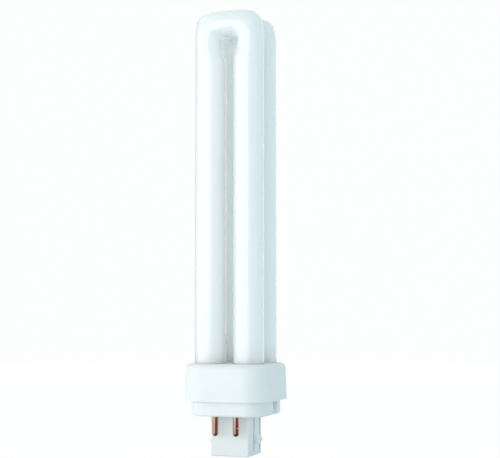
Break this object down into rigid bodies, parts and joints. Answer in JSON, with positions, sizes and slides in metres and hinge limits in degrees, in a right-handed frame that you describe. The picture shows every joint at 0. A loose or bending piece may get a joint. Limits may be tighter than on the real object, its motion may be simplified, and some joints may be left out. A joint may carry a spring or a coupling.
{
  "type": "plug-in compact fluorescent lamp",
  "caption": "Compact fluorescent lamp: white coated glass tube in squared U bends, a white moulded collar and a square plug-in base with round contact pins.",
  "frame": {"origin": "middle of the plug's flat end, which the lamp stands on", "axes": "+Z along the tubes towards the bends; -Y towards the front pair of pins and the front U tube"},
  "size_m": [0.034, 0.034, 0.165],
  "materials": {
    "coated_glass": "glossy glass over a white powder coat",
    "white_plastic": "moulded, fine satin",
    "cement": "dull, cast",
    "pin_metal": "drawn, copper toned",
    "lead_metal": "drawn wire"
  },
  "bodies": {
    "root": {"discharge_tube": "coated_glass", "tube_collar": "white_plastic", "plug_base": "white_plastic", "basing_cement": "cement", "contact_pin_1": "pin_metal", "contact_pin_2": "pin_metal", "contact_pin_3": "pin_metal", "contact_pin_4": "pin_metal", "lead_wire_1": "lead_metal", "lead_wire_2": "lead_metal", "lead_wire_3": "lead_metal", "lead_wire_4": "lead_metal"}
  },
  "joints": []
}
